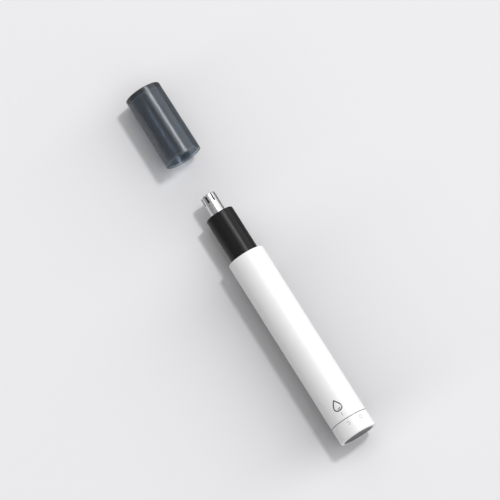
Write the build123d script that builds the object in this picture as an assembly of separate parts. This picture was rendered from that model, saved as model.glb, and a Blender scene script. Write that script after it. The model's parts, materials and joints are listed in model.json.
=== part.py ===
from build123d import *
import math
import os

# Battery nose hair trimmer, lying on its side with its cap pulled off and set down in line with it.
# Frame: X runs along the trimmer, from the knob to the cutter and the cap. Z is up. The round handle
# rests on z = 0, and the origin is under the middle of the whole arrangement. Millimetres, degrees.
# Stations along X are measured from the shoulder, the front rim of the white handle tube.
# Angles around the axis are 0 at +Y and 90 at the top, and grow from +Y towards +Z.

# ---- driving dimensions ----
OUTER_R = 9.0            # handle tube, knob and cap mouth
TUBE_LENGTH = 88.0       # shoulder back to the joint with the knob
KNOB_LENGTH = 8.3
CAP_GAP = 53.9           # shoulder to the mouth of the cap, as it lies
JOINT_GAP = 0.3          # parting line between the tube and the knob
CAP_LENGTH = 36.3
CAP_END_R = 8.81         # the cap narrows a little towards its closed end
CAP_BORE = 7.2
CAP_LIP_R = 8.3          # the mouth is stepped out to a thin lip
CAP_LIP_DEPTH = 1.0
CAP_END_BORE = 7.0
CAP_END_WALL = 1.8
BORE_R = 7.5             # battery bore, for an AA cell of 14.5 mm
NECK_R = 6.86
NECK_LENGTH = 22.8       # part of the neck sleeve that shows
SPIGOT = 7.5             # part of the neck sleeve inside the tube
CUTTER_R = 3.65
CUTTER_LENGTH = 10.4     # part of the cutter that shows
RUN = 0.1                # clearance between pieces that move on each other
EDGE = 0.5               # rounding of the outer rims

CELL_R = 7.25            # AA cell
CELL_LENGTH = 50.5
NUB_R = 2.75
NUB_LENGTH = 1.2
CELL_REAR = -83.0        # station of the cell's flat end
CELL_FRONT = CELL_REAR + CELL_LENGTH

MOTOR_R = 6.5
MOTOR_FLAT = 5.0         # half the distance across the flats of the motor can
MOTOR_FRONT = -11.5
MOTOR_REAR = -28.0
CAN_WALL = 0.4
SHAFT_R = 0.75

TURN = 44.0              # travel of the knob, off to on
LUG_ANGLES = (0, 180)    # bayonet lugs with the knob at off
KEY_ANGLES = (60, 240)   # keys that stop the spring carrier turning
STRIP_ANGLE = 270        # conductor strip, along the underside
SLOT_COUNT = 8           # slots in the outer cutter
SLOT_FIRST = 66          # one of the slot angles
BUMP_ANGLES = (81, 201, 321)

# ---- frame ----
AXIS_Z = OUTER_R
REAR_END = -TUBE_LENGTH - KNOB_LENGTH
CAP_END = CAP_GAP + CAP_LENGTH
SHOULDER_X = -(REAR_END + CAP_END) / 2
AXIS = Axis((SHOULDER_X, 0, AXIS_Z), (1, 0, 0))
PROFILE = Plane(origin=(SHOULDER_X, 0, AXIS_Z), x_dir=(1, 0, 0), z_dir=(0, -1, 0))


# ---- shape helpers ----
def station(x):
    """Plane across the trimmer at a station: its x is +Y and its y is +Z."""
    return Plane(origin=(SHOULDER_X + x, 0, AXIS_Z), x_dir=(0, 1, 0), z_dir=(1, 0, 0))


def rod(x0, x1, radius, bore=0.0):
    """Round bar or tube on the axis."""
    section = Circle(radius)
    if bore:
        section -= Circle(bore)
    return extrude(station(x0) * section, amount=x1 - x0)


def turned(points):
    """Solid of revolution from (station, radius) points."""
    face = make_face(PROFILE * Polyline(*points, close=True))
    return revolve(face, AXIS, revolution_arc=360)


def around(shape, angle):
    """The shape turned about the trimmer's axis."""
    return shape.rotate(AXIS, angle)


def sector(x0, x1, inner, outer, middle, width):
    """Part of a ring, width degrees wide about the middle angle."""
    section = Pos((x0 + x1) / 2, (inner + outer) / 2) * Rectangle(x1 - x0, outer - inner)
    piece = revolve(PROFILE * section, AXIS, revolution_arc=width)
    return around(piece, middle - width / 2 - 90)


def slab(x0, x1, y0, y1, z0, z1):
    """Box between two stations, in distances from the axis."""
    centre = Pos(SHOULDER_X + (x0 + x1) / 2, (y0 + y1) / 2, AXIS_Z + (z0 + z1) / 2)
    return centre * Box(x1 - x0, y1 - y0, z1 - z0)


def ring(x, major, minor):
    """O-ring on the axis."""
    section = PROFILE * Pos(x, major) * Circle(minor)
    return revolve(section, AXIS, revolution_arc=360)


def coil(x0, x1, radius, wire, turns, end_radius=None):
    """Round-wire spring on the axis, straight or tapering towards its front end."""
    end_radius = end_radius or radius
    length = x1 - x0 - wire
    cone = math.degrees(math.atan2(end_radius - radius, length))
    path = Helix(length / turns, length, radius, cone_angle=cone)
    path = station(x0 + wire / 2) * path
    start = path @ 0
    section = Plane(origin=start, z_dir=path % 0) * Circle(wire / 2)
    return sweep(section, path=path, is_frenet=True)


def rims_at(shape, x, radius):
    """Circular edges of one radius at one station."""
    centre_x = SHOULDER_X + x
    found = shape.edges().filter_by(GeomType.CIRCLE)
    found = [e for e in found if abs(e.radius - radius) < 0.02]
    return [e for e in found if abs(e.arc_center.X - centre_x) < 0.02]


def save(shape, name):
    """One STEP file per piece, as a compound when the piece is several like solids."""
    if isinstance(shape, list):
        shape = Compound(children=shape)
    export_step(shape, f"parts/{name}.step")


# ---- handle ----
LIP = 1.2                # front wall of the tube, round the neck
CARRIER_FRONT = -LIP
CARRIER_REAR = -31.0
BULKHEAD = (-11.5, -9.7)
SOCKET_R = NECK_R + RUN
LUG_HALF = 10            # half the width of a bayonet lug, in degrees
LUG_X = (-85.9, -84.7)
LUG_TOP = 8.05
KEY_HALF = 5
SKIRT_FRONT = -84.3
STRIP_WIDTH = 3.0
STRIP_DEPTH = 0.4


def body_tube():
    """White tube with a front lip round the neck and bayonet grooves at the rear."""
    tube = rod(-TUBE_LENGTH, 0, OUTER_R, BORE_R)
    tube += rod(-LIP, 0, BORE_R + 0.2, SOCKET_R)
    tube = fillet(rims_at(tube, 0, OUTER_R), EDGE)
    groove_top = LUG_TOP + RUN
    width = 2 * LUG_HALF + 3
    inner = BORE_R - 0.2
    for angle in LUG_ANGLES:
        tube -= sector(-TUBE_LENGTH - 1, LUG_X[1] + RUN, inner, groove_top, angle, width)
        middle = angle - TURN / 2
        tube -= sector(LUG_X[0] - RUN, LUG_X[1] + RUN, inner, groove_top, middle, width + TURN)
    for angle in KEY_ANGLES:
        tube -= sector(-TUBE_LENGTH - 1, -83.1, inner, groove_top, angle, 2 * KEY_HALF + 2)
    half = STRIP_WIDTH / 2
    return tube - slab(-86.6, -27.9, -half, half, -BORE_R - STRIP_DEPTH, -BORE_R + 0.6)


def negative_strip():
    """Flat conductor under the cell, from the knob's wiper to the motor."""
    half = STRIP_WIDTH / 2 - 0.05
    low = -BORE_R - STRIP_DEPTH
    return slab(-86.5, -28.0, -half, half, low, low + 0.3)


def motor_bay(x0, x1, slack):
    """Round bay with two flats, the section of the motor."""
    bay = rod(x0, x1, MOTOR_R + slack)
    flat = MOTOR_FLAT + slack
    return bay & slab(x0, x1, -BORE_R, BORE_R, -flat, flat)


SCREW_R = 0.6
SCREW_PLACES = ((2.4, 6.0), (2.4, -6.0))
SCREW_HEAD_R = 0.95
SCREW_DEPTH = 4.0
STRIP_CHANNEL = STRIP_WIDTH / 2 + 0.1


def motor_carrier():
    """Moulded frame that holds the motor and forms the socket for the cutter head."""
    carrier = rod(CARRIER_REAR, CARRIER_FRONT, BORE_R - 0.02)
    carrier -= rod(BULKHEAD[1], 0, SOCKET_R)
    carrier -= motor_bay(CARRIER_REAR - 1, BULKHEAD[0], 0.05)
    carrier -= rod(BULKHEAD[0] - 1, BULKHEAD[1] + 1, 2.6)
    for y, z in SCREW_PLACES:
        carrier -= Pos(0, y, z) * rod(CARRIER_REAR - 1, CARRIER_REAR + SCREW_DEPTH, SCREW_R)
    half = STRIP_CHANNEL
    carrier -= slab(CARRIER_REAR - 1, -27.0, -half, half, -BORE_R - 1, -BORE_R + 0.35)
    return carrier - slab(CARRIER_REAR - 1, -30.2, -3.4, -0.4, -BORE_R, -MOTOR_FLAT + 0.2)


HOLDER_REAR = -32.0


def contact_holder():
    """Disc behind the motor that carries the positive contact."""
    disc = rod(HOLDER_REAR, CARRIER_REAR, BORE_R - 0.02)
    half = STRIP_CHANNEL
    disc -= slab(HOLDER_REAR - 1, CARRIER_REAR + 1, -half, half, -BORE_R - 1, -BORE_R + 0.35)
    disc -= slab(HOLDER_REAR - 1, CARRIER_REAR + 1, 2.6, 4.0, -0.9, 0.9)
    for y, z in SCREW_PLACES:
        disc -= Pos(0, y, z) * rod(HOLDER_REAR - 1, CARRIER_REAR + 1, SCREW_R + 0.05)
    return disc


def carrier_screws():
    """Two small self-tapping screws with slotted pan heads."""
    screws = []
    for y, z in SCREW_PLACES:
        screw = rod(HOLDER_REAR, CARRIER_REAR + SCREW_DEPTH - 0.3, SCREW_R - 0.02)
        screw += rod(HOLDER_REAR - 0.45, HOLDER_REAR, SCREW_HEAD_R)
        screw -= slab(HOLDER_REAR - 1, HOLDER_REAR - 0.2, -1.2, 1.2, -0.15, 0.15)
        screws.append(Pos(0, y, z) * screw)
    return screws


def positive_contact():
    """Sprung metal disc with a domed middle, and a tab that passes the holder to the motor."""
    disc = rod(HOLDER_REAR - 0.25, HOLDER_REAR, 4.4)
    disc += rod(HOLDER_REAR - 0.45, HOLDER_REAR - 0.25, 1.8)
    tab = slab(HOLDER_REAR - 0.25, -30.4, 2.8, 3.1, -0.8, 0.8)
    return disc + tab


# ---- motor ----
END_CAP_REAR = -29.8


def motor_can():
    """Drawn steel can with two flats, closed at the front but for the shaft bush."""
    can = motor_bay(MOTOR_REAR, MOTOR_FRONT, 0)
    inside = rod(MOTOR_REAR, MOTOR_FRONT - CAN_WALL, MOTOR_R - CAN_WALL)
    flat = MOTOR_FLAT - CAN_WALL
    inside &= slab(MOTOR_REAR, MOTOR_FRONT - CAN_WALL, -BORE_R, BORE_R, -flat, flat)
    can -= inside
    can += rod(MOTOR_FRONT, MOTOR_FRONT + 0.9, 2.4)
    return can - rod(MOTOR_FRONT - 1, MOTOR_FRONT + 1, 1.8)


def motor_bushing():
    """Sintered bronze bush in the nose of the can."""
    return rod(MOTOR_FRONT - CAN_WALL, MOTOR_FRONT + 0.9, 1.8, SHAFT_R + 0.05)


def motor_magnets():
    """Two curved magnets against the round sides of the can."""
    outer = MOTOR_R - CAN_WALL
    return [sector(-26.0, -13.5, 4.6, outer, angle, 84) for angle in (0, 180)]


def motor_end_cap():
    """Moulded end cap with a rear bearing boss."""
    cap = motor_bay(END_CAP_REAR, MOTOR_REAR, 0)
    inset = rod(MOTOR_REAR, MOTOR_REAR + 1.2, 6.0)
    flat = MOTOR_FLAT - CAN_WALL - 0.05
    cap += inset & slab(MOTOR_REAR, MOTOR_REAR + 1.2, -BORE_R, BORE_R, -flat, flat)
    cap += rod(END_CAP_REAR - 0.5, END_CAP_REAR, 2.0)
    cap -= rod(-28.6, -26, 2.6)
    cap -= rod(-31, -28, SHAFT_R + 0.06)
    for side in (-1, 1):
        cap -= slab(END_CAP_REAR - 1, -26, side * 3.5 - 0.2, side * 3.5 + 0.2, -0.8, 0.8)
    return cap


def motor_terminals():
    """Two flat solder tabs through the end cap."""
    return [slab(-30.9, -26.3, s * 3.5 - 0.15, s * 3.5 + 0.15, -0.75, 0.75) for s in (-1, 1)]


def motor_brushes():
    """Two leaf brushes, from the tabs to the commutator."""
    brushes = []
    for side in (-1, 1):
        y0, y1 = sorted((side * 1.75, side * 3.35))
        brushes.append(slab(-26.6, -26.3, y0, y1, -0.5, 0.5))
    return brushes


def shaft_seal():
    """Rubber lip ring in the bulkhead, round the motor shaft."""
    seal = rod(BULKHEAD[1] - 0.8, BULKHEAD[1] + 0.4, 2.55, SHAFT_R + 0.12)
    return seal + rod(BULKHEAD[1] + 0.02, BULKHEAD[1] + 0.4, 3.4, 2.5)


def lead_wire():
    """Short insulated wire from the conductor strip to a motor tab."""
    points = [(-1.1, -7.4), (-2.9, -4.7), (-3.02, -0.6)]
    route = station(-30.62) * FilletPolyline(*points, radius=1.5)
    section = Plane(origin=route @ 0, z_dir=route % 0) * Circle(0.27)
    return sweep(section, path=route)


# ---- rotor ----
def motor_shaft():
    """Steel shaft from the rear bearing to the drive coupler."""
    return rod(-30.2, -6.0, SHAFT_R)


def armature_core():
    """Three-pole lamination stack."""
    x0, x1 = -24.0, -15.0
    core = rod(x0, x1, 4.3, SHAFT_R)
    for angle in (30, 150, 270):
        slot = slab(x0 - 1, x1 + 1, 1.6, 3.7, -1.5, 1.5) + slab(x0 - 1, x1 + 1, 3.0, 5.0, -0.4, 0.4)
        core -= around(slot, angle)
    return core


def armature_windings():
    """Copper coils that overhang both ends of the stack."""
    coils = [rod(-25.4, -24.0, 3.5, 1.2), rod(-15.0, -13.6, 3.5, 1.2)]
    return coils


def commutator():
    """Three copper bars on an insulating sleeve."""
    drum = rod(-27.8, -25.5, 1.65, SHAFT_R)
    for angle in (90, 210, 330):
        drum -= around(slab(-28, -25, 1.2, 2.0, -0.12, 0.12), angle)
    return drum


COUPLER = (-8.9, -5.2)
TONGUE_FRONT = -3.3


def drive_coupler():
    """Moulded coupler pressed on the shaft, with a flat tongue for the spindle."""
    coupler = rod(COUPLER[0], COUPLER[1], 2.5)
    coupler += slab(COUPLER[1], TONGUE_FRONT, -2.2, 2.2, -0.6, 0.6)
    return coupler - rod(COUPLER[0] - 1, -6.0, SHAFT_R)


# ---- cutter head ----
HOLDER_R = 5.6
NECK_SEAL_R = 6.48
CUTTER_REAR = 14.0
CUTTER_TIP = NECK_LENGTH + CUTTER_LENGTH
CUTTER_WALL = 0.35
BLADE_R = CUTTER_R - CUTTER_WALL - 0.06
SLOT_WIDTH = 0.8
SLOT_LENGTH = 3.7
SPINDLE_R = 1.2


def neck_sleeve():
    """Dark sleeve of the cutter head, with three small bumps that hold the cap."""
    sleeve = rod(-SPIGOT, NECK_LENGTH, NECK_R)
    sleeve = fillet(rims_at(sleeve, NECK_LENGTH, NECK_R), 0.4)
    sleeve -= rod(-SPIGOT - 1, NECK_LENGTH - 1.6, HOLDER_R)
    sleeve -= rod(NECK_LENGTH - 2, NECK_LENGTH + 1, CUTTER_R + 0.03)
    sleeve -= rod(-5.1, -4.1, NECK_R + 1, NECK_SEAL_R - 0.44)
    for angle in BUMP_ANGLES:
        bump = Pos(SHOULDER_X + 2.25, NECK_R - 0.58, AXIS_Z) * Sphere(0.8)
        bump = around(bump, angle) - rod(-2, 6, NECK_R - 0.2)
        sleeve += bump
    return sleeve


def neck_seal():
    """O-ring in the spigot of the neck."""
    return ring(-4.6, NECK_SEAL_R, 0.42)


def cutter_holder():
    """Moulded core of the head: it centres the outer cutter and the spindle bushes."""
    front = NECK_LENGTH - 1.6
    core = rod(-SPIGOT + 1.5, front, HOLDER_R - 0.02, 3.2)
    core -= rod(CUTTER_REAR, front + 1, CUTTER_R)
    core -= rod(CUTTER_REAR, CUTTER_REAR + 1.0, 4.5)
    for x0 in (1.0, 11.0):
        core += rod(x0, x0 + 2.4, 3.6, 2.2)
    return core


def spindle_bushings():
    """Two brass bushes for the spindle."""
    return [rod(x0, x0 + 2.4, 2.2, SPINDLE_R + 0.06) for x0 in (1.0, 11.0)]


def cutter_slot():
    """One slot: parallel, open at the tip, with a wider round inner end."""
    x0 = CUTTER_TIP - SLOT_LENGTH
    half = SLOT_WIDTH / 2
    slot = slab(x0, CUTTER_TIP + 1, 1.5, CUTTER_R + 1, -half, half)
    eye = Cylinder(half + 0.08, CUTTER_R - 0.5)
    return slot + Pos(SHOULDER_X + x0, 3.2, AXIS_Z) * Rot(90, 0, 0) * eye


def outer_cutter():
    """Fixed steel cutter: a thin cup with slots over its rounded tip."""
    cup = rod(CUTTER_REAR, CUTTER_TIP, CUTTER_R)
    cup = fillet(rims_at(cup, CUTTER_TIP, CUTTER_R), 0.55)
    cup -= rod(CUTTER_REAR - 1, CUTTER_TIP - 0.45, CUTTER_R - CUTTER_WALL)
    cup += rod(CUTTER_REAR + 0.02, CUTTER_REAR + 0.98, 4.45, CUTTER_R - CUTTER_WALL)
    for n in range(SLOT_COUNT):
        cup -= around(cutter_slot(), SLOT_FIRST + n * 360 / SLOT_COUNT)
    return cup


def drive_spindle():
    """Spindle from the coupler to the inner cutter, with a slotted drive flange."""
    spindle = rod(-1.2, 28.0, SPINDLE_R)
    spindle += rod(-5.0, -1.2, 2.9)
    spindle -= slab(-6, TONGUE_FRONT + 0.4, -3, 3, -0.75, 0.75)
    return spindle + rod(20.5, 21.3, 2.5)


def cutter_spring():
    """Compression spring that keeps the inner cutter against the outer one."""
    return coil(13.45, 20.45, 1.75, 0.4, 6)


def inner_cutter():
    """Steel rotor with four blades just inside the slots."""
    front = CUTTER_TIP - 0.55
    rotor = rod(26.4, front, 1.7)
    for angle in (0, 90, 180, 270):
        rotor += around(slab(CUTTER_TIP - 5.2, front, 1.0, BLADE_R + 0.2, -0.35, 0.35), angle)
    rotor = rotor & rod(26, front, BLADE_R)
    return rotor - rod(26, 28.0, SPINDLE_R)


# ---- cap ----
def cap():
    """Clear smoked cap: a cup with a thick wall that narrows slightly to its closed end."""
    deep = CAP_END - CAP_END_WALL
    step = CAP_GAP + CAP_LIP_DEPTH
    cup = turned([(CAP_GAP, 0), (CAP_GAP, OUTER_R - 0.01), (CAP_END, CAP_END_R), (CAP_END, 0)])
    cup = fillet(rims_at(cup, CAP_END, CAP_END_R), 0.6)
    hollow = turned([(CAP_GAP, 0), (CAP_GAP, CAP_BORE), (deep, CAP_END_BORE), (deep, 0)])
    hollow = fillet(rims_at(hollow, deep, CAP_END_BORE), 0.8)
    hollow += turned([(CAP_GAP, 0), (CAP_GAP, CAP_LIP_R), (step, CAP_LIP_R - 0.1), (step, 0)])
    cup -= hollow
    return fillet(rims_at(cup, CAP_GAP, CAP_LIP_R) + rims_at(cup, CAP_GAP, OUTER_R - 0.01), 0.2)


# ---- battery ----
def battery_cell():
    """AA cell in its sleeve."""
    front = CELL_FRONT - NUB_LENGTH
    cell = rod(CELL_REAR + 0.15, front, CELL_R)
    return fillet(rims_at(cell, front, CELL_R) + rims_at(cell, CELL_REAR + 0.15, CELL_R), 0.4)


def battery_terminals():
    """Steel nub at the front of the cell and flat plate at its rear."""
    front = CELL_FRONT - NUB_LENGTH
    nub = rod(front, CELL_FRONT - 0.12, NUB_R)
    nub = fillet(rims_at(nub, CELL_FRONT - 0.12, NUB_R), 0.3)
    return [nub, rod(CELL_REAR, CELL_REAR + 0.15, 6.0)]


# ---- tail: spring carrier and knob ----
HUB_R = 5.2
HUB_BORE = 4.5
WEB = (-93.3, -92.3)     # wall of the knob that turns on the hub
HUB_REAR = -94.4
DISC_R = 7.5
DISC_REAR = REAR_END + 0.1
DISC_FRONT = REAR_END + 1.5
KNOB_SEAL_R = BORE_R - 0.5


def spring_carrier():
    """Plug with a keyed front flange; the knob turns on its hub."""
    carrier = rod(HUB_REAR, -83.3, HUB_R)
    carrier += rod(HUB_REAR, WEB[0] - RUN, 6.0)
    carrier += rod(-84.1, -83.3, BORE_R - RUN)
    for angle in KEY_ANGLES:
        carrier += sector(-84.1, -83.3, BORE_R - 0.3, LUG_TOP, angle, 2 * KEY_HALF)
    return carrier - rod(HUB_REAR + 0.8, -83, HUB_BORE)


def spring_seat():
    """Metal disc under the contact spring."""
    return rod(HUB_REAR + 0.8, HUB_REAR + 1.05, HUB_BORE - 0.05)


def contact_spring():
    """Conical spring that presses on the flat end of the cell."""
    return coil(HUB_REAR + 1.06, CELL_REAR - 0.1, 3.9, 0.5, 5, 2.4)


def knob():
    """White knob: outer shell, inner web that turns on the hub, and a skirt with bayonet lugs."""
    shell = rod(REAR_END, -TUBE_LENGTH - JOINT_GAP, OUTER_R)
    shell = fillet(rims_at(shell, REAR_END, OUTER_R), EDGE)
    shell -= rod(REAR_END - 1, DISC_FRONT, DISC_R)
    shell -= rod(DISC_FRONT - 0.1, WEB[0], 7.0)
    shell += rod(-TUBE_LENGTH - 1, SKIRT_FRONT, BORE_R - RUN)
    shell -= rod(WEB[1], SKIRT_FRONT + 1, HUB_R + 0.9)
    shell -= rod(WEB[0] - 0.5, WEB[1] + 0.5, HUB_R + RUN)
    for angle in LUG_ANGLES:
        shell += sector(LUG_X[0], LUG_X[1], BORE_R - 0.4, LUG_TOP, angle, 2 * LUG_HALF)
    shell -= rod(-87.7, -86.7, BORE_R + 1, KNOB_SEAL_R - 0.46)
    return shell - sector(-86.5, SKIRT_FRONT + 1, BORE_R - 0.5, BORE_R + 1, STRIP_ANGLE + TURN, 18)


def switch_wiper():
    """Sprung metal leaf in the skirt that meets the conductor strip when the knob is at on."""
    return sector(-86.4, SKIRT_FRONT, BORE_R - 0.5, BORE_R - 0.15, STRIP_ANGLE + TURN, 16)


def knob_seal():
    """O-ring between the knob's skirt and the tube."""
    return ring(-87.2, KNOB_SEAL_R, 0.44)


def rear_disc():
    """Dark disc set into the rear of the knob."""
    disc = rod(DISC_REAR, DISC_FRONT, DISC_R - 0.02)
    return fillet(rims_at(disc, DISC_REAR, DISC_R - 0.02), 0.15)


PIECES = [
    body_tube, negative_strip, motor_carrier, contact_holder, carrier_screws, positive_contact,
    motor_can, motor_bushing, motor_magnets, motor_end_cap, motor_terminals, motor_brushes,
    shaft_seal, lead_wire,
    motor_shaft, armature_core, armature_windings, commutator, drive_coupler,
    neck_sleeve, neck_seal, cutter_holder, spindle_bushings, outer_cutter,
    drive_spindle, cutter_spring, inner_cutter,
    cap, battery_cell, battery_terminals,
    spring_carrier, spring_seat, contact_spring,
    knob, switch_wiper, knob_seal, rear_disc,
]

os.makedirs("parts", exist_ok=True)
for piece in PIECES:
    save(piece(), piece.__name__)
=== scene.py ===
import json
import math

import bmesh
import bpy
from mathutils import Matrix, Vector


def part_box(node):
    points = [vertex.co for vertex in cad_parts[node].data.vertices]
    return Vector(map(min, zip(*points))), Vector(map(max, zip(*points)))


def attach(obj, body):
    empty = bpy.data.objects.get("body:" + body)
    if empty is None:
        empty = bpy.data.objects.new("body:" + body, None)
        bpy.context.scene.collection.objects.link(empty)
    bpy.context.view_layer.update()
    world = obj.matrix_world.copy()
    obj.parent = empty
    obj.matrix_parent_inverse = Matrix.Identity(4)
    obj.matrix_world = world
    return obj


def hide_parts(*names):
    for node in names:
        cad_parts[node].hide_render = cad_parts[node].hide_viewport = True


# Nose hair trimmer, lying with its cap pulled off and set down in line with it.
# Lengths are in metres. Angles round the trimmer are in degrees, 0 at +Y and 90 at the top.

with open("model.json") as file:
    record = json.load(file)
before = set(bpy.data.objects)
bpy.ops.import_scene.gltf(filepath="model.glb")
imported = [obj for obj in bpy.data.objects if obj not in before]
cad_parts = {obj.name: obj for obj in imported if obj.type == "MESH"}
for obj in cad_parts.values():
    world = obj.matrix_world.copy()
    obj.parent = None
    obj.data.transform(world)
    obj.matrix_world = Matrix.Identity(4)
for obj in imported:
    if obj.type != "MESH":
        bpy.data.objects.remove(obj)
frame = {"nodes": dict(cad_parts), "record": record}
bpy.context.view_layer.update()
NODES = frame["nodes"]
MM = 0.001

# ---- places, from the frame ----
tube_low, tube_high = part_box("body_tube")
JOINT = tube_low.x
JOINT_GAP = 0.3 * MM
knob_front = JOINT - JOINT_GAP
RADIUS = (tube_high.y - tube_low.y) / 2
AXIS_Z = (tube_high.z + tube_low.z) / 2
MARK_ANGLE = 77           # where the index line and the drop stand
KNOB_TURN = 44            # from off to on


# ---- materials ----
NOISE_LOW, NOISE_HIGH = 0.3, 0.7


def maths(tree, operation, a, b=0.0):
    """A math node on two values, each a number or an output of another node."""
    made = tree.nodes.new("ShaderNodeMath")
    made.operation = operation
    for slot, value in enumerate((a, b)):
        if isinstance(value, (int, float)):
            made.inputs[slot].default_value = value
        else:
            tree.links.new(value, made.inputs[slot])
    return made.outputs[0]


def fade(tree, value, start, end):
    """Rises smoothly from 0 at the start to 1 at the end. The start may be the greater."""
    made = tree.nodes.new("ShaderNodeMapRange")
    made.interpolation_type = "SMOOTHSTEP"
    made.inputs["From Min"].default_value = start
    made.inputs["From Max"].default_value = end
    tree.links.new(value, made.inputs["Value"])
    return made.outputs["Result"]


class Finish:
    """A material on one Principled shader, with its texture nodes in object space."""

    def __init__(self, name, colour, roughness, metallic=0.0):
        self.material = bpy.data.materials.new(name)
        self.material.use_nodes = True
        self.tree = self.material.node_tree
        self.shader = self.tree.nodes["Principled BSDF"]
        self.shader.inputs["Base Color"].default_value = (*colour, 1)
        self.shader.inputs["Roughness"].default_value = roughness
        self.shader.inputs["Metallic"].default_value = metallic
        self.colour = colour
        self.roughness = roughness
        self.coords = self.node("ShaderNodeTexCoord").outputs["Object"]
        self.height = None

    def node(self, kind, **values):
        made = self.tree.nodes.new(kind)
        for key, value in values.items():
            setattr(made, key, value)
        return made

    def link(self, output, target):
        self.tree.links.new(output, target)

    def noise(self, size, stretch=(1, 1, 1), detail=3.0, distortion=0.0):
        """Noise of a feature size in metres, stretched along the axes."""
        mapping = self.node("ShaderNodeMapping")
        mapping.inputs["Scale"].default_value = [1 / (size * s) for s in stretch]
        self.link(self.coords, mapping.inputs["Vector"])
        noise = self.node("ShaderNodeTexNoise")
        noise.inputs["Scale"].default_value = 1.0
        noise.inputs["Detail"].default_value = detail
        noise.inputs["Distortion"].default_value = distortion
        self.link(mapping.outputs["Vector"], noise.inputs["Vector"])
        return noise.outputs["Fac"]

    def maths(self, operation, a, b=0.0):
        return maths(self.tree, operation, a, b)

    def fade(self, value, start, end):
        return fade(self.tree, value, start, end)

    def ramp(self, factor, low, high):
        """Noise, which keeps mostly to its middle range, spread over low to high."""
        spread = self.node("ShaderNodeMapRange")
        spread.inputs["From Min"].default_value = NOISE_LOW
        spread.inputs["From Max"].default_value = NOISE_HIGH
        spread.inputs["To Min"].default_value = low
        spread.inputs["To Max"].default_value = high
        self.link(factor, spread.inputs["Value"])
        return spread.outputs["Result"]

    def mix_colour(self, factor, other):
        """Base colour that goes from what it is to another as the factor goes from 0 to 1."""
        base = self.shader.inputs["Base Color"]
        mix = self.node("ShaderNodeMix", data_type="RGBA")
        if base.is_linked:
            self.link(base.links[0].from_socket, mix.inputs["A"])
        mix.inputs["A"].default_value = (*self.colour, 1)
        mix.inputs["B"].default_value = (*other, 1)
        self.link(factor, mix.inputs["Factor"])
        self.link(mix.outputs["Result"], base)
        return self

    def vary_colour(self, factor, other):
        """Base colour that wanders between the finish's own and another."""
        return self.mix_colour(self.ramp(factor, 0.0, 1.0), other)

    def vary_roughness(self, factor, amount):
        low = max(self.roughness - amount, 0.0)
        self.link(self.ramp(factor, low, self.roughness + amount), self.shader.inputs["Roughness"])
        return self

    def relief(self, factor, depth):
        """Adds a bump of a depth in metres on top of what is there."""
        bump = self.node("ShaderNodeBump")
        bump.inputs["Strength"].default_value = 1.0
        bump.inputs["Distance"].default_value = depth
        self.link(factor, bump.inputs["Height"])
        if self.height:
            self.link(self.height, bump.inputs["Normal"])
        self.height = bump.outputs["Normal"]
        self.link(self.height, self.shader.inputs["Normal"])
        return self

    def set(self, name, value):
        self.shader.inputs[name].default_value = value
        return self


def shade(colour, factor):
    return tuple(c * factor for c in colour)


def moulded(name, colour, roughness, grain=0.12 * MM, depth=0.004 * MM, wander=0.94):
    """Moulded plastic: faint cloudiness, fine grain and uneven sheen."""
    finish = Finish(name, colour, roughness)
    finish.vary_colour(finish.noise(9 * MM, detail=2), shade(colour, wander))
    finish.vary_roughness(finish.noise(2.5 * MM), 0.05)
    return finish.relief(finish.noise(grain, detail=2), depth)


def turned_steel(name, colour, roughness, depth=0.0012 * MM):
    """Metal turned on a lathe: fine lines round the axis."""
    finish = Finish(name, colour, roughness, metallic=1.0)
    lines = finish.noise(0.05 * MM, stretch=(1, 60, 60), detail=4)
    finish.vary_colour(finish.noise(0.4 * MM, stretch=(1, 12, 12)), shade(colour, 0.86))
    finish.vary_roughness(lines, 0.07)
    return finish.relief(lines, depth)


def plain_metal(name, colour, roughness):
    """Plated or drawn metal with a little cloudiness and fine scratches along it."""
    finish = Finish(name, colour, roughness, metallic=1.0)
    finish.vary_colour(finish.noise(1.2 * MM), shade(colour, 0.8))
    finish.vary_roughness(finish.noise(0.5 * MM, stretch=(6, 1, 1)), 0.08)
    return finish.relief(finish.noise(0.06 * MM, stretch=(20, 1, 1)), 0.001 * MM)


SMOKE_DENSITY = 790       # per metre
SMOKE_TINT = (0.13, 0.2, 0.26)
MILKINESS = 0.04
LAMP_SHARE = 0.5          # how much of a lamp's light passes each face of the cap


def smoked_clear():
    """See-through plastic, smoked blue-grey all through, with a little milkiness."""
    finish = Finish("smoked_clear_plastic", (0.85, 0.92, 1.0), 0.05)
    finish.set("Transmission Weight", 1 - MILKINESS)
    finish.set("IOR", 1.5)
    finish.vary_roughness(finish.noise(3 * MM, stretch=(3, 1, 1)), 0.015)
    finish.vary_colour(finish.noise(6 * MM), (0.81, 0.885, 0.965))
    finish.relief(finish.noise(8 * MM, stretch=(3, 1, 1), detail=1), 0.002 * MM)
    smoke = finish.node("ShaderNodeVolumeAbsorption")
    smoke.inputs["Color"].default_value = (*SMOKE_TINT, 1)
    smoke.inputs["Density"].default_value = SMOKE_DENSITY
    output = finish.tree.nodes["Material Output"]
    finish.link(smoke.outputs[0], output.inputs["Volume"])
    path = finish.node("ShaderNodeLightPath")
    clear = finish.node("ShaderNodeBsdfTransparent")
    clear.inputs["Color"].default_value = (LAMP_SHARE, LAMP_SHARE, LAMP_SHARE, 1)
    mix = finish.node("ShaderNodeMixShader")
    finish.link(path.outputs["Is Shadow Ray"], mix.inputs[0])
    finish.link(finish.shader.outputs[0], mix.inputs[1])
    finish.link(clear.outputs[0], mix.inputs[2])
    finish.link(mix.outputs[0], output.inputs["Surface"])
    return finish


def black_gloss():
    """Black plastic with a polished face that is not very reflective."""
    finish = moulded("black_plastic", (0.0155, 0.0155, 0.0165), 0.2, depth=0.001 * MM, wander=0.8)
    return finish.set("Specular IOR Level", 0.18)


CELL_BAND = 0.3           # the dark band's share of the cell's length


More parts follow.
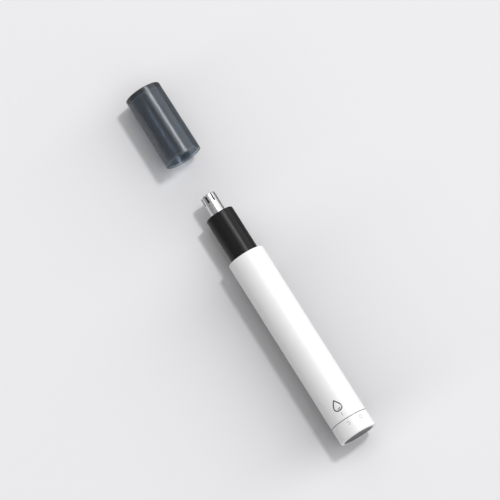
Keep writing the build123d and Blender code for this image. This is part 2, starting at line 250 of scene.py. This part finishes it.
def cell_sleeve():
    """Shrink sleeve of the cell: plain grey with a dark band towards its flat end."""
    finish = moulded("cell_sleeve", (0.30, 0.31, 0.33), 0.28, grain=0.3 * MM, depth=0.002 * MM)
    low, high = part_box("battery_cell")
    split = finish.node("ShaderNodeSeparateXYZ")
    finish.link(finish.coords, split.inputs["Vector"])
    band_end = low.x + CELL_BAND * (high.x - low.x)
    in_band = finish.maths("LESS_THAN", split.outputs["X"], band_end)
    return finish.mix_colour(in_band, (0.03, 0.03, 0.032))


DISC_RING_STEP = 0.35 * MM


def grey_disc():
    """Dark disc with very fine rings round its middle."""
    finish = moulded("grey_plastic", (0.074, 0.074, 0.077), 0.42, wander=0.85)
    shift = finish.node("ShaderNodeVectorMath", operation="SUBTRACT")
    shift.inputs[1].default_value = (0, 0, AXIS_Z)
    finish.link(finish.coords, shift.inputs[0])
    flat = finish.node("ShaderNodeVectorMath", operation="MULTIPLY")
    flat.inputs[1].default_value = (0, 1, 1)
    finish.link(shift.outputs["Vector"], flat.inputs[0])
    length = finish.node("ShaderNodeVectorMath", operation="LENGTH")
    finish.link(flat.outputs["Vector"], length.inputs[0])
    turns = finish.maths("MULTIPLY", length.outputs["Value"], 2 * math.pi / DISC_RING_STEP)
    return finish.relief(finish.maths("SINE", turns), 0.004 * MM)


WHITE = (0.90, 0.90, 0.905)
FINISHES = {
    "white_plastic": moulded("white_plastic", WHITE, 0.42, wander=0.985),
    "grey_plastic": grey_disc(),
    "black_plastic": black_gloss(),
    "smoked_clear_plastic": smoked_clear(),
    "cutter_steel": turned_steel("cutter_steel", (0.76, 0.76, 0.77), 0.28),
    # The blades get a near-black steel: painted shade inside the cutter's slots.
    "blade_steel": turned_steel("blade_steel", (0.06, 0.06, 0.063), 0.3),
    "carrier_plastic": moulded("carrier_plastic", (0.03, 0.03, 0.033), 0.45),
    "drive_plastic": moulded("drive_plastic", (0.72, 0.70, 0.64), 0.38),
    "contact_metal": plain_metal("contact_metal", (0.72, 0.68, 0.58), 0.28),
    "spring_steel": plain_metal("spring_steel", (0.62, 0.62, 0.63), 0.22),
    "motor_steel": plain_metal("motor_steel", (0.50, 0.50, 0.52), 0.34),
    "magnet": moulded("magnet", (0.05, 0.05, 0.052), 0.6, depth=0.01 * MM),
    "copper": plain_metal("copper", (0.72, 0.34, 0.18), 0.3),
    "bronze": plain_metal("bronze", (0.55, 0.38, 0.17), 0.42),
    "seal_rubber": moulded("seal_rubber", (0.018, 0.018, 0.018), 0.6, depth=0.008 * MM),
    "wire_sleeve": moulded("wire_sleeve", (0.03, 0.03, 0.03), 0.5),
    "cell_sleeve": cell_sleeve(),
}
SLOT_OF = {row["node"]: row["material_slot"] for row in frame["record"]["subparts"]}
for name, node in NODES.items():
    node.data.materials.clear()
    node.data.materials.append(FINISHES[SLOT_OF[name]].material)

INK = moulded("print_ink", (0.035, 0.035, 0.037), 0.5, wander=0.8)
FAINT_INK = moulded("faint_print_ink", (0.40, 0.40, 0.41), 0.5, wander=0.92)


# ---- pieces of our own ----
def piece_of(mesh, name, body, material):
    """A mesh made into an object that rides on a body."""
    bmesh.ops.recalc_face_normals(mesh, faces=mesh.faces)
    data = bpy.data.meshes.new(name)
    mesh.to_mesh(data)
    mesh.free()
    data.materials.append(material)
    piece = bpy.data.objects.new(name, data)
    bpy.context.scene.collection.objects.link(piece)
    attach(piece, body)
    return piece


# ---- turned pieces ----
SEGMENTS = 192
ON_AXIS = 1e-7            # a radius under this is a point on the axis


def rounded(corners, steps=6):
    """A line through (x, r, radius) corners, each corner rounded by its radius."""
    path = []
    for i, (x, r, radius) in enumerate(corners):
        corner = Vector((x, r))
        if radius == 0:
            path.append(corner)
            continue
        back = (Vector(corners[i - 1][:2]) - corner).normalized()
        ahead = (Vector(corners[i + 1][:2]) - corner).normalized()
        half = back.angle(ahead) / 2
        reach = radius / math.tan(half)
        centre = corner + (back + ahead).normalized() * radius / math.sin(half)
        start, end = corner + back * reach - centre, corner + ahead * reach - centre
        for k in range(steps + 1):
            path.append(centre + start.lerp(end, k / steps).normalized() * radius)
    return path


def turned(name, path, body, slot, closed=False):
    """A piece turned about the trimmer's axis. Its line is closed, or has both ends on the axis."""
    mesh = bmesh.new()
    rings = []
    turns = [2 * math.pi * k / SEGMENTS for k in range(SEGMENTS)]
    for x, r in path:
        if r < ON_AXIS:
            rings.append([mesh.verts.new((x, 0, AXIS_Z))])
            continue
        rings.append([mesh.verts.new((x, r * math.cos(t), AXIS_Z + r * math.sin(t))) for t in turns])
    pairs = list(zip(rings, rings[1:]))
    if closed:
        pairs.append((rings[-1], rings[0]))
    for a, b in pairs:
        for k in range(SEGMENTS):
            m = (k + 1) % SEGMENTS
            corners = [a[k % len(a)], a[m % len(a)], b[m % len(b)], b[k % len(b)]]
            mesh.faces.new(list(dict.fromkeys(corners)))
    for face in mesh.faces:
        face.smooth = True
    piece = piece_of(mesh, name, body, FINISHES[slot].material)
    piece.modifiers.new("even_normals", "WEIGHTED_NORMAL")
    return piece


# The cap again, with a finer skin than the CAD one, because clear plastic shows every facet.
cap_low, cap_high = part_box("cap")
CAP_RADIUS = (cap_high.y - cap_low.y) / 2
CAP_END_RADIUS = 8.81 * MM
CAP_BORE = 7.2 * MM
CAP_END_BORE = 7.0 * MM
CAP_END_WALL = 1.8 * MM
CAP_LIP_RADIUS = 8.3 * MM
CAP_LIP_DEPTH = 1.0 * MM
CAP_LIP_DRAFT = 0.1 * MM
cap_floor = cap_high.x - CAP_END_WALL
cap_step = cap_low.x + CAP_LIP_DEPTH
cap_line = rounded([
    (cap_high.x, 0, 0),
    (cap_high.x, CAP_END_RADIUS, 0.6 * MM),
    (cap_low.x, CAP_RADIUS, 0.2 * MM),
    (cap_low.x, CAP_LIP_RADIUS, 0.2 * MM),
    (cap_step, CAP_LIP_RADIUS - CAP_LIP_DRAFT, 0.05 * MM),
    (cap_step, CAP_BORE, 0.05 * MM),
    (cap_floor, CAP_END_BORE, 0.8 * MM),
    (cap_floor, 0, 0),
])
clear_cap = turned("clear_cap", cap_line, "cap", "smoked_clear_plastic")
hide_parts("cap")

# A thin dark ring on the knob's skirt, just under the surface. It fills the parting line with painted
# shade, in place of the shade in the gap.
SHADE_RING_RADIUS = RADIUS - 0.06 * MM
SHADE_RING_BORE = 7.3 * MM
turned("parting_line_shade", [
    (knob_front, SHADE_RING_BORE),
    (knob_front, SHADE_RING_RADIUS),
    (JOINT, SHADE_RING_RADIUS),
    (JOINT, SHADE_RING_BORE),
], "knob", "seal_rubber", closed=True)


# ---- printed marks ----
INK_LIFT = 0.007 * MM     # how far the print stands proud
INK_SINK = 0.03 * MM      # how far its underside is in the plastic


def on_surface(x, arc, lift):
    """A point at a station, an arc length from the mark angle and a height over the surface.

    It goes no higher than the top of the tube.
    """
    angle = math.radians(MARK_ANGLE) + arc / RADIUS
    r = RADIUS + lift
    z = min(AXIS_Z + r * math.sin(angle), tube_high.z)
    return Vector((x, r * math.cos(angle), z))


def stroke(mesh, path, width, closed=False):
    """A printed line along (station, arc) points, as a thin closed solid bent to the surface."""
    count = len(path)
    rows = []
    for i, (x, arc) in enumerate(path):
        before = path[i - 1] if (closed or i) else path[i]
        after = path[(i + 1) % count] if (closed or i + 1 < count) else path[i]
        along = Vector((after[0] - before[0], after[1] - before[1])).normalized()
        side = Vector((-along.y, along.x)) * width / 2
        a, b = (x + side.x, arc + side.y), (x - side.x, arc - side.y)
        corners = [on_surface(*a, INK_LIFT), on_surface(*b, INK_LIFT),
                   on_surface(*b, -INK_SINK), on_surface(*a, -INK_SINK)]
        rows.append([mesh.verts.new(p) for p in corners])
    pairs = list(zip(rows, rows[1:]))
    if closed:
        pairs.append((rows[-1], rows[0]))
    else:
        mesh.faces.new(rows[0])
        mesh.faces.new(rows[-1][::-1])
    for near, far in pairs:
        for k in range(4):
            mesh.faces.new((near[k], far[k], far[(k + 1) % 4], near[(k + 1) % 4]))


def arc_path(centre_x, centre_arc, radius, start, end, steps=40):
    """Points round a circle on the surface, in degrees from +X."""
    turns = [math.radians(start + (end - start) * i / steps) for i in range(steps + 1)]
    if end - start >= 360:
        turns = turns[:-1]
    return [(centre_x + radius * math.cos(t), centre_arc + radius * math.sin(t)) for t in turns]


def drop_path(centre_x, centre_arc, length, width, steps=72):
    """A water drop, its tip towards the cutter."""
    taper = 1.4               # how slowly it widens from the tip
    fullness = 1.3            # gives back the width that the taper takes away
    path = []
    for i in range(steps):
        t = 2 * math.pi * (i + 0.5) / steps
        x = length / 2 * math.cos(t)
        across = fullness * width / 2 * math.sin(t) * math.sin(t / 2) ** taper
        path.append((centre_x + x, centre_arc + across))
    return path


def printed(name, body, finish, strokes):
    """One printed piece made of several strokes, riding on a body."""
    mesh = bmesh.new()
    for path, width, closed in strokes:
        stroke(mesh, path, width, closed)
    return piece_of(mesh, name, body, finish.material)


LINE_FROM = JOINT + 1.65 * MM
LINE_LENGTH = 1.8 * MM
LINE_ARC = -0.2 * MM
LINE_WIDTH = 0.28 * MM
LINE_STEPS = 8
line_path = [(LINE_FROM + LINE_LENGTH * i / LINE_STEPS, LINE_ARC) for i in range(LINE_STEPS + 1)]
printed("index_line", "handle", FAINT_INK, [(line_path, LINE_WIDTH, False)])

# The drop has a short arc inside it, like a gleam.
DROP_X = JOINT + 7.05 * MM
DROP_ARC = -0.3 * MM
DROP_LENGTH, DROP_WIDTH, DROP_LINE = 5.2 * MM, 4.1 * MM, 0.52 * MM
GLEAM_X = DROP_X - 0.85 * MM
GLEAM_RADIUS, GLEAM_LINE = 0.95 * MM, 0.36 * MM
printed("drop_mark", "handle", INK, [
    (drop_path(DROP_X, DROP_ARC, DROP_LENGTH, DROP_WIDTH), DROP_LINE, True),
    (arc_path(GLEAM_X, DROP_ARC, GLEAM_RADIUS, 115, 205), GLEAM_LINE, False),
])

# The ring for off is open on one side and stands by the index line at rest. The ring for on is whole.
RING_RADIUS = 0.72 * MM
RING_LINE = 0.24 * MM
OFF_X = JOINT - 2.5 * MM
ON_X = JOINT - 2.6 * MM
ON_ARC = math.radians(KNOB_TURN) * RADIUS + LINE_ARC
printed("off_ring", "knob", FAINT_INK,
        [(arc_path(OFF_X, 0.0, RING_RADIUS, -60, 200), RING_LINE, False)])
printed("on_ring", "knob", FAINT_INK,
        [(arc_path(ON_X, ON_ARC, RING_RADIUS, 0, 360), RING_LINE, True)])

# ---- floor ----
FLOOR_SIZE = 4.0
FLOOR_FAR = (0.835, 0.83, 0.845)
FLOOR_PAINTED_SHADE = (0.57, 0.57, 0.58)    # painted shade, right beside the trimmer
PAINTED_SHADE_SHIFT = 3.2 * MM      # the painted shade leans to the shadow's side
PAINTED_SHADE_FROM, PAINTED_SHADE_REACH = 13 * MM, 22 * MM
# How strong the painted shade is beside the handle and beside the cap.
HANDLE_PAINTED_SHADE = 1.0
CAP_PAINTED_SHADE = 0.4
# Along X: where each painted shade starts, is whole, starts to fade and ends.
SHADE_BESIDE_HANDLE = (-106 * MM, -80 * MM, -14 * MM, 26 * MM)
SHADE_BESIDE_CAP = (0.0, 50 * MM, 85 * MM, 108 * MM)


def stretch(finish, x, start, whole, fading, end):
    """1 over a stretch of x, fading to 0 at its ends."""
    return finish.maths("MULTIPLY", finish.fade(x, start, whole), finish.fade(x, end, fading))


def floor_with_painted_shade():
    """Pale matt paper, darker beside the handle and, less so, beside the cap: painted shade."""
    finish = Finish("floor", FLOOR_FAR, 0.8)
    finish.set("Specular IOR Level", 0.1)
    split = finish.node("ShaderNodeSeparateXYZ")
    finish.link(finish.coords, split.inputs["Vector"])
    x, y = split.outputs["X"], split.outputs["Y"]
    away = finish.maths("ABSOLUTE", finish.maths("SUBTRACT", y, PAINTED_SHADE_SHIFT))
    past = finish.maths("DIVIDE", finish.maths("SUBTRACT", PAINTED_SHADE_FROM, away), PAINTED_SHADE_REACH)
    side = finish.maths("EXPONENT", finish.maths("MINIMUM", past, 0.0))
    painted_shade_by_handle = finish.maths("MULTIPLY", stretch(finish, x, *SHADE_BESIDE_HANDLE), HANDLE_PAINTED_SHADE)
    painted_shade_by_cap = finish.maths("MULTIPLY", stretch(finish, x, *SHADE_BESIDE_CAP), CAP_PAINTED_SHADE)
    along = finish.maths("ADD", painted_shade_by_handle, painted_shade_by_cap)
    # Mixes the painted shade into the paper's colour.
    finish.mix_colour(finish.maths("MULTIPLY", side, along), FLOOR_PAINTED_SHADE)
    return finish.relief(finish.noise(0.4 * MM, detail=2), 0.004 * MM)


bpy.ops.mesh.primitive_plane_add(size=FLOOR_SIZE, location=(0, 0, 0))
floor = bpy.context.object
floor.name = "floor"
floor.data.materials.append(floor_with_painted_shade().material)


# ---- camera ----
LOOK_AT = Vector((4.5 * MM, -3.2 * MM, 9.0 * MM))
CAMERA_DISTANCE = 1.5988
CAMERA_HEIGHT = 77.0      # degrees over the floor
CAMERA_HEADING = -31.62   # degrees from +X, the way it faces
LENS = 254.5
SENSOR = 36
CLIP_NEAR, CLIP_FAR = 0.05, 20


def add_camera():
    height, heading = math.radians(CAMERA_HEIGHT), math.radians(CAMERA_HEADING)
    flat = math.cos(height)
    towards = Vector((flat * math.cos(heading), flat * math.sin(heading), -math.sin(height)))
    data = bpy.data.cameras.new("camera")
    data.lens = LENS
    data.sensor_width = SENSOR
    data.clip_start = CLIP_NEAR
    data.clip_end = CLIP_FAR
    camera = bpy.data.objects.new("camera", data)
    bpy.context.scene.collection.objects.link(camera)
    camera.location = LOOK_AT - towards * CAMERA_DISTANCE
    camera.rotation_mode = "QUATERNION"
    camera.rotation_quaternion = towards.to_track_quat("-Z", "Y")
    bpy.context.scene.camera = camera


add_camera()


# ---- light ----
def aim(thing, away, distance):
    """Hangs a light or a card off the middle of the trimmer, facing it, its X along the trimmer."""
    back = away.normalized()
    across = back.cross(Vector((1, 0, 0))).normalized()
    along = across.cross(back).normalized()
    thing.location = LOOK_AT + away * distance
    thing.rotation_mode = "QUATERNION"
    thing.rotation_quaternion = Matrix((along, across, back)).transposed().to_quaternion()


def area_light(name, away, distance, shape, size, power):
    data = bpy.data.lights.new(name, "AREA")
    data.shape = shape
    data.size = size[0]
    if shape == "RECTANGLE":
        data.size_y = size[1]
    data.energy = power
    light = bpy.data.objects.new(name, data)
    bpy.context.scene.collection.objects.link(light)
    aim(light, away, distance)
    return light


INSIDE_BOOST = 1.3        # cards are this much brighter again in the faces inside the clear cap
EVEN = 9.0                # a fall so slow that a card looks even


def card(name, half_length, bottom, top, strength, above=EVEN, below=EVEN):
    """A card seen only in glossy and clear parts.

    It is brightest along its X axis. Above and below are how far its light falls to a third.
    """
    data = bpy.data.meshes.new(name)
    corners = [(x, y, 0) for x, y in ((-half_length, bottom), (half_length, bottom),
                                      (half_length, top), (-half_length, top))]
    data.from_pydata(corners, [], [(0, 1, 2, 3)])
    material = bpy.data.materials.new(name)
    material.use_nodes = True
    tree = material.node_tree
    tree.nodes.remove(tree.nodes["Principled BSDF"])
    split = tree.nodes.new("ShaderNodeSeparateXYZ")
    tree.links.new(tree.nodes.new("ShaderNodeTexCoord").outputs["Object"], split.inputs["Vector"])
    y = split.outputs["Y"]
    fall = maths(tree, "MINIMUM", maths(tree, "DIVIDE", y, -above), maths(tree, "DIVIDE", y, below))
    depth = tree.nodes.new("ShaderNodeLightPath").outputs["Transmission Depth"]
    inside = maths(tree, "MULTIPLY", maths(tree, "MINIMUM", depth, 1.0), INSIDE_BOOST)
    level = maths(tree, "MULTIPLY", maths(tree, "EXPONENT", fall), strength)
    glow = tree.nodes.new("ShaderNodeEmission")
    tree.links.new(maths(tree, "MULTIPLY", level, maths(tree, "ADD", inside, 1.0)), glow.inputs["Strength"])
    tree.links.new(glow.outputs[0], tree.nodes["Material Output"].inputs["Surface"])
    data.materials.append(material)
    made = bpy.data.objects.new(name, data)
    bpy.context.scene.collection.objects.link(made)
    made.visible_camera = False
    made.visible_diffuse = False
    made.visible_shadow = False
    return made


# The key casts the shadow to the +Y side. Glossy parts show a longer, softer strip in its place,
# so that the highlight runs along the whole trimmer and fades slowly towards the top.
KEY_AWAY, KEY_DISTANCE = Vector((0.17, -0.484, 0.857)), 4.0
KEY_SIZE, KEY_POWER = 0.52, 63.0
GLINT_AWAY, GLINT_DISTANCE = Vector((0.17, -0.473, 0.864)), 2.0
GLINT_HALF_LENGTH, GLINT_BOTTOM, GLINT_TOP = 0.8, -0.8, 1.7
GLINT_STRENGTH, GLINT_ABOVE, GLINT_BELOW = 9.7, 0.36, 0.25
# A broad soft lamp low on the key's side, seen only in glossy and clear parts.
WALL_AWAY, WALL_DISTANCE = Vector((0.17, -0.83, 0.53)), 2.0
WALL_SIZE, WALL_POWER = (3.0, 2.0), 6.7
# A dim card lying on the floor on the key's side gives glossy parts a darker edge.
FLAG_HALF_LENGTH, FLAG_HALF_WIDTH, FLAG_STRENGTH = 0.4, 0.25, 0.25
FLAG_PLACE = (0, -0.261, 0.0005)

key = area_light("key", KEY_AWAY, KEY_DISTANCE, "DISK", (KEY_SIZE,), KEY_POWER)
key.visible_glossy = False
wall = area_light("wall", WALL_AWAY, WALL_DISTANCE, "RECTANGLE", WALL_SIZE, WALL_POWER)
wall.visible_diffuse = False
glint = card("glint", GLINT_HALF_LENGTH, GLINT_BOTTOM, GLINT_TOP, GLINT_STRENGTH, GLINT_ABOVE, GLINT_BELOW)
aim(glint, GLINT_AWAY, GLINT_DISTANCE)
flag = card("flag", FLAG_HALF_LENGTH, -FLAG_HALF_WIDTH, FLAG_HALF_WIDTH, FLAG_STRENGTH)
flag.location = FLAG_PLACE
flag.visible_transmission = False

# The studio is brighter on the key's side, with a soft band that ends where the key hangs,
# and a fainter one low on the other side.
WORLD_MIDDLE, WORLD_SLOPE = 0.59, -0.36
# Each band: how much brighter it is, then one edge, its peak and its other edge, in degrees over
# the -Y horizon.
BAND = (0.33, 106, 66, 54)
BACK_BAND = (0.08, 140, 165, 200)


def studio():
    world = bpy.data.worlds.new("studio")
    bpy.context.scene.world = world
    world.use_nodes = True
    tree = world.node_tree
    split = tree.nodes.new("ShaderNodeSeparateXYZ")
    tree.links.new(tree.nodes.new("ShaderNodeTexCoord").outputs["Generated"], split.inputs[0])
    y, z = split.outputs["Y"], split.outputs["Z"]
    total = maths(tree, "ADD", maths(tree, "MULTIPLY", y, WORLD_SLOPE), WORLD_MIDDLE)
    height = maths(tree, "ARCTAN2", z, maths(tree, "MULTIPLY", y, -1.0))
    for strength, *angles in (BAND, BACK_BAND):
        one_edge, peak, other_edge = [math.radians(a) for a in angles]
        rise, fall = fade(tree, height, one_edge, peak), fade(tree, height, other_edge, peak)
        band = maths(tree, "MULTIPLY", rise, fall)
        total = maths(tree, "ADD", total, maths(tree, "MULTIPLY", band, strength))
    background = tree.nodes["Background"]
    background.inputs["Color"].default_value = (1.0, 1.0, 1.0, 1)
    tree.links.new(total, background.inputs["Strength"])


studio()

scene = bpy.context.scene
scene.view_settings.view_transform = "Standard"
scene.view_settings.look = "None"
